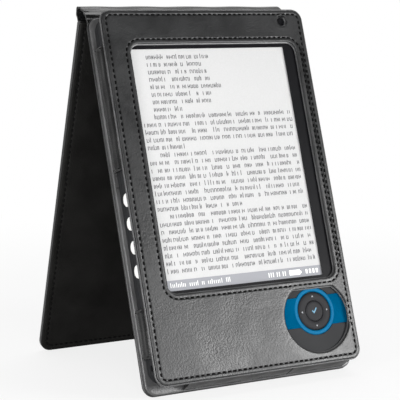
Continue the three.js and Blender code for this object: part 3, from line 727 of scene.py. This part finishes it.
def make_spine():
    inverse = HOLDER.inverted()
    hinges = [inverse @ Vector(joints[n]["pos_m"]) for n in ("spine_base", "spine_fold", "cover_hinge")]
    low, high = local_box("spine_inner", HOLDER)
    path = np.array(spine_path())
    steps = np.linalg.norm(np.diff(path, axis=0), axis=1)
    along = np.concatenate([[0], np.cumsum(steps)])
    dense = np.linspace(0, along[-1], SPINE_RINGS)
    line = np.stack([np.interp(dense, along, path[:, 0]), np.interp(dense, along, path[:, 1])], axis=1)
    for _ in range(3):
        line[1:-1] = (line[:-2] + 2 * line[1:-1] + line[2:]) / 4
    tangent = np.gradient(line, axis=0)
    tangent /= np.linalg.norm(tangent, axis=1)[:, None]
    normal = np.stack([-tangent[:, 1], tangent[:, 0]], axis=1)
    top = int(np.argmax(line[:, 1]))
    base = int(np.argmin(np.abs(line[:top, 1] - (hinges[0].z + 3.5))))
    tail = top + int(np.argmin(np.abs(line[top:, 1] - (hinges[2].z + 3.5))))
    cols = 60
    xs = np.linspace(low.x + 0.9, high.x - 0.4, cols + 1)

    def surface(k, x, side):
        """Point of the band's outer (side 1) or inner (side -1) face."""
        left_end = math.exp(-(x - low.x) / 7.0)
        rumple = 0.30 * left_end * math.sin(k * 0.95) + 0.10 * math.sin(x * 0.22 + k * 0.35)
        fade = math.sin(math.pi * min(1.0, max(0.0, (k - 4) / 60.0)))
        half = 0.5 if 6 < k < 66 else 0.35
        offset = side * half + rumple * max(fade, 0)
        edge_round = min(1.0, min(x - low.x, high.x - x) / 0.5 + 0.4)
        return (x, line[k][0] + normal[k][0] * offset * (edge_round if side > 0 else 1),
                line[k][1] + normal[k][1] * offset * (edge_round if side > 0 else 1))

    def band(name, first, last, node):
        rings = []
        for k in range(first, last + 1):
            rings.append([surface(k, x, 1) for x in xs] + [surface(k, x, -1) for x in xs[::-1]])
        obj = finish_mesh(name, *loft(rings), HOLDER, SHINY_LEATHER, sharp=60)
        if node:
            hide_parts(node)
        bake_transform(obj)

    band("spine_leather_back", 0, base,
         "spine_inner")
    # The fold piece shares its first and last rings with the other two pieces, so the three pieces meet.
    band("spine_leather_fold", base, tail,
         "spine_outer")
    band("spine_leather_cover", tail, SPINE_RINGS - 1,
         None)


# ---- Reader ----

def make_pad():
    front, back = pad_low.y, pad_high.y
    key_low, key_high = local_box("dpad_centre_key", HOLDER)
    key_radius = (key_high.x - key_low.x) / 2
    inner = key_radius + 0.14
    ring = [(inner, back), (inner, front + 0.45), (inner + 0.12, front + 0.22), (inner + 0.4, front + 0.12),
            (inner + 1.5, front + 0.02), (pad_radius - 1.3, front - 0.02), (pad_radius - 0.4, front + 0.1),
            (pad_radius - 0.1, front + 0.3), (pad_radius, front + 0.6), (pad_radius, back)]
    ride(finish_mesh("pad_ring", *lathe(ring, pad_centre), HOLDER, PAD_GREY), "dpad_ring", "dpad_ring",
         slot="shell_plastic")
    top = key_low.y
    profile = [(key_radius, key_high.y), (key_radius, top + 0.4), (key_radius - 0.1, top + 0.18),
               (key_radius - 0.45, top + 0.03), (key_radius * 0.75, top), (key_radius * 0.4, top + 0.12),
               (key_radius * 0.1, top + 0.17)]
    ride(finish_mesh("pad_centre_key", *dome(profile, pad_centre), HOLDER, PAD_GREY), "dpad_centre_key",
         "dpad_centre_key", slot="shell_plastic")
    middle = (inner + pad_radius) / 2
    marks = []
    for quarter in range(4):
        angle = math.pi / 2 * quarter + math.pi / 2
        cx, cz = pad_centre[0] + middle * math.cos(angle), pad_centre[1] + middle * math.sin(angle)
        tip = [(cx + 0.62 * math.cos(angle + k * 2.0944), cz + 0.62 * math.sin(angle + k * 2.0944)) for k in range(3)]
        rings = [[(x, y, z) for x, z in tip] for y in (front + 0.2, front - 0.06)]
        marks.append(loft(rings))
    ride(finish_mesh("pad_marks", *join(marks), HOLDER, MARK_GREY), "dpad_ring")
    tick = [(-1.55, 0.15), (-1.15, 0.55), (-0.35, -0.35), (1.15, 1.75), (1.6, 1.35), (-0.35, -1.25)]
    rings = [[(pad_centre[0] + x, y, pad_centre[1] + z) for x, z in tick] for y in (top + 0.25, top - 0.03)]
    ride(finish_mesh("pad_tick", *loft(rings), HOLDER, MARK_BLUE), "dpad_centre_key")


def make_band():
    """Blue inlay: a band across the pad that swells round it, with a raised lighter ring at the pad's edge."""
    low, high = local_box("accent_band", HOLDER)
    radius = (high.z - low.z) / 2

    def outline(d):
        half, r = BAND_HALF_HEIGHT - d, radius - d
        cx, cz = pad_centre
        reach = math.asin(half / r)
        upper = [(cx + r * math.cos(a), cz + r * math.sin(a)) for a in np.linspace(reach, math.pi - reach, 28)]
        lower = [(x, 2 * cz - z) for x, z in upper[::-1]]
        return ([(high.x - d, cz - half), (high.x - d, cz + half)] + upper
                + [(low.x + d, cz + half), (low.x + d, cz - half)] + lower)

    hole = lambda d: arc(pad_centre[0], pad_centre[1], pad_radius + 0.3 + d, 0, 355, 72)
    edge = [(0.0, high.y), (0.0, low.y + 0.06), (0.06, low.y)]
    points, faces = panel([(outline, edge), (hole, edge)])
    ride(finish_mesh("accent_inlay", points, faces, HOLDER, BLUE), "holder", "accent_band", slot="accent_blue")
    inner, outer = pad_radius + 0.75, radius - 0.35
    ring = [(inner, low.y + 0.1), (inner, low.y - 0.02), (inner + 0.3, low.y - 0.12), (outer - 0.35, low.y - 0.12),
            (outer, low.y + 0.0), (outer, low.y + 0.1)]
    ride(finish_mesh("accent_ring", *lathe(ring, pad_centre, 96), HOLDER, HALO_BLUE), "holder")


def make_side_keys():
    for index in range(1, 5):
        node = f"side_key_{index}"
        low, high = local_box(node, HOLDER)
        cz = (low.z + high.z) / 2
        front = low.y
        rings = []
        levels = [(high.x - 0.4, 1.0), (low.x + 0.55, 1.0), (low.x + 0.25, 0.95), (low.x + 0.06, 0.84), (low.x, 0.66)]
        for x, scale in levels:
            ring = []
            for k in range(25):
                a = -math.pi / 2 + math.pi * k / 24
                ring.append((x, front + KEY_REACH * (1 - scale) * 0.35 + KEY_REACH * scale * math.cos(a),
                             cz + KEY_HALF * scale * math.sin(a)))
            ring += [(x, front + KEY_REACH * (1 - scale) * 0.35, cz + KEY_HALF * scale * (1 - 2 * k / 8))
                     for k in range(1, 8)]
            rings.append(ring)
        obj = finish_mesh(f"page_key_{index}", *loft(rings), HOLDER, WHITE_KEY, sharp=60)
        ride(obj, node, node, slot="key_white")


def make_page():
    """Page of generic word marks: rows of tiny strokes in word groups, and a plain status bar."""
    low, high = local_box("display_film", HOLDER)
    film = low.y
    border = 1.6
    left, right = low.x + border, high.x - border
    bottom, top = low.z + border, high.z - border
    width = right - left
    ink = []
    short = {0: 0.40, 1: 0.36, 2: 0.38, 3: 0.40, 4: 0.48, 5: 0.40, 6: 0.38, 7: 0.20, 12: 0.24, 20: 0.55}
    indents = {8, 13, 21}

    def stroke(x0, x1, z0, z1):
        rings = [[(x0, y, z0), (x1, y, z0), (x1, y, z1), (x0, y, z1)] for y in (film, film - 0.03)]
        ink.append(loft(rings))

    for row in range(PAGE_ROWS):
        base = top - 5.2 - PAGE_PITCH * row
        indent = 0.075 * width if row in short and row < 8 else (0.07 * width if row in indents else 0.0)
        x = left + 1.6 + indent
        end = left + 1.6 + indent + short[row] * width if row in short else right - 1.4
        while x < end - 1.5:
            letters = random.choice([1, 3, 4, 5, 6, 7, 8, 9])
            for _ in range(letters):
                if x > end - 1.2:
                    break
                tall = random.random() < 0.16
                height = 2.6 if tall else 1.95
                wide = random.choice([1.0, 1.15, 1.3, 1.5])
                stroke(x, x + 0.35, base, base + height)
                kind = random.random()
                if kind < 0.75:
                    drop = random.uniform(0.0, 0.35)
                    stroke(x + wide - 0.35, x + wide, base + drop, base + 1.95 - drop * 0.5)
                if kind < 0.62:
                    level = random.choice([0.0, 0.8, 1.65])
                    stroke(x + 0.37, x + wide - 0.37, base + level, base + level + 0.3)
                x += wide + 0.42
            x += random.uniform(1.2, 2.6)
    ride(finish_mesh("page_words", *join(ink), HOLDER, INK), "holder")

    bar_top = bottom + 5.3
    bar = loft([[(left, y, bottom), (right, y, bottom), (right, y, bar_top), (left, y, bar_top)]
                for y in (film, film - 0.04)])
    ride(finish_mesh("status_bar", *bar, HOLDER, BAR_GREY), "holder")
    marks = []

    def light(x0, x1, z0, z1):
        """Light mark standing on the status bar."""
        rings = [[(x0, d, z0), (x1, d, z0), (x1, d, z1), (x0, d, z1)] for d in (film - 0.02, film - 0.07)]
        marks.append(loft(rings))

    x = left + 2.0
    for group in (9, 5, 2, 8, 3):
        for _ in range(group):
            light(x, x + 0.32, bottom + 1.7, bottom + 1.7 + random.choice([1.7, 1.7, 2.4]))
            x += random.choice([0.95, 1.15])
        x += 1.6
    x = right - 32
    for group in (3, 2, 2):
        for _ in range(group):
            light(x, x + 0.4, bottom + 1.5, bottom + 3.9)
            x += 1.3
        x += 1.0
    light(right - 19.5, right - 13.0, bottom + 1.4, bottom + 4.0)
    light(right - 13.0, right - 12.2, bottom + 2.1, bottom + 3.3)
    for k in range(4):
        light(right - 9.5 + 2.1 * k, right - 8.4 + 2.1 * k, bottom + 1.6, bottom + 3.8)
    ride(finish_mesh("status_marks", *join(marks), HOLDER, WHITE_KEY), "holder")


# ---- Stage ----

def make_stage():
    bm = bmesh.new()
    bmesh.ops.create_grid(bm, x_segments=8, y_segments=8, size=6.0)
    mesh = bpy.data.meshes.new("floor")
    bm.to_mesh(mesh)
    bm.free()
    floor = bpy.data.objects.new("floor", mesh)
    floor.location.z = cad_box[0].z - 0.0002
    bpy.context.scene.collection.objects.link(floor)
    material = new_material("floor_white", (0.86, 0.86, 0.86), 0.9, specular=0.1)
    tree = material.node_tree
    path = tree.nodes.new("ShaderNodeLightPath")
    glow = tree.nodes.new("ShaderNodeEmission")
    glow.inputs["Strength"].default_value = 1.0
    mix = tree.nodes.new("ShaderNodeMixShader")
    # Away from the object the floor turns into the plain white of the backdrop.
    spot = tree.nodes.new("ShaderNodeTexCoord")
    reach = tree.nodes.new("ShaderNodeVectorMath")
    reach.operation = "LENGTH"
    tree.links.new(spot.outputs["Object"], reach.inputs[0])
    fade = tree.nodes.new("ShaderNodeMapRange")
    fade.interpolation_type = "SMOOTHSTEP"
    for key, value in (("From Min", 0.12), ("From Max", 0.55), ("To Min", 0.80), ("To Max", 1.0)):
        fade.inputs[key].default_value = value
    tree.links.new(reach.outputs["Value"], fade.inputs["Value"])
    share = tree.nodes.new("ShaderNodeMath")
    share.operation = "MULTIPLY"
    tree.links.new(fade.outputs["Result"], share.inputs[1])
    out = tree.nodes["Material Output"]
    tree.links.new(path.outputs["Is Camera Ray"], share.inputs[0])
    tree.links.new(share.outputs[0], mix.inputs[0])
    tree.links.new(tree.nodes["Principled BSDF"].outputs[0], mix.inputs[1])
    tree.links.new(glow.outputs[0], mix.inputs[2])
    tree.links.new(mix.outputs[0], out.inputs["Surface"])
    mesh.materials.append(material)

    world = bpy.data.worlds.new("world")
    bpy.context.scene.world = world
    world.use_nodes = True
    tree = world.node_tree
    background = tree.nodes["Background"]
    background.inputs["Color"].default_value = (1, 1, 1, 1)
    # The white sweep is behind the object; the room in front of it is dim.
    coords = tree.nodes.new("ShaderNodeTexCoord")
    split = tree.nodes.new("ShaderNodeSeparateXYZ")
    tree.links.new(coords.outputs["Generated"], split.inputs["Vector"])
    room = tree.nodes.new("ShaderNodeMapRange")
    for key, value in (("From Min", -0.25), ("From Max", 0.55), ("To Min", 0.10), ("To Max", 0.75)):
        room.inputs[key].default_value = value
    tree.links.new(split.outputs["Y"], room.inputs["Value"])
    path = tree.nodes.new("ShaderNodeLightPath")
    seen = tree.nodes.new("ShaderNodeMix")
    tree.links.new(path.outputs["Is Camera Ray"], seen.inputs["Factor"])
    tree.links.new(room.outputs["Result"], seen.inputs["A"])
    seen.inputs["B"].default_value = 1.0
    tree.links.new(seen.outputs["Result"], background.inputs["Strength"])


def area_light(name, location, target, size, energy):
    data = bpy.data.lights.new(name, "AREA")
    data.shape = "RECTANGLE"
    data.size, data.size_y = size
    data.energy = energy
    lamp = bpy.data.objects.new(name, data)
    lamp.location = location
    lamp.rotation_euler = (Vector(target) - Vector(location)).to_track_quat("-Z", "Y").to_euler()
    bpy.context.scene.collection.objects.link(lamp)


def make_lights():
    centre = (cad_box[0] + cad_box[1]) / 2
    face = HOLDER @ Vector((0, 0, FACE_H * 0.25))
    area_light("key_softbox", face + Vector((-0.30, -0.50, 0.10)), face, (0.34, 0.34), 3.3)
    area_light("front_softbox", face + Vector((0.62, -0.74, 0.19)), face, (0.36, 0.26), 7.4)
    area_light("left_strip", centre + Vector((-0.85, -0.42, 0.12)), centre, (0.10, 0.70), 4.0)
    area_light("top_softbox", centre + Vector((0.25, 0.25, 1.0)), centre, (0.7, 0.7), 3.5)


def make_camera():
    """Camera placed from the middle of the display, looking at it from the front left and a little above."""
    low, high = local_box("display_film", HOLDER)
    display = HOLDER @ Vector(((low.x + high.x) / 2, 2.5, (low.z + high.z) / 2))
    offset = Vector((-0.3648, -0.6079, 0.0775))
    forward = Vector((0.4929, 0.8597, -0.1340)).normalized()
    data = bpy.data.cameras.new("camera")
    data.lens = 126.5
    data.sensor_width = 36.0
    camera = bpy.data.objects.new("camera", data)
    camera.location = display + offset
    camera.rotation_euler = forward.to_track_quat("-Z", "Y").to_euler()
    bpy.context.scene.collection.objects.link(camera)
    bpy.context.scene.camera = camera


make_camera()
make_stage()
make_lights()
make_holder()
make_cover()
make_spine()
make_pad()
make_band()
make_side_keys()
make_page()

bpy.context.scene.view_settings.view_transform = "Standard"
bpy.context.view_layer.update()
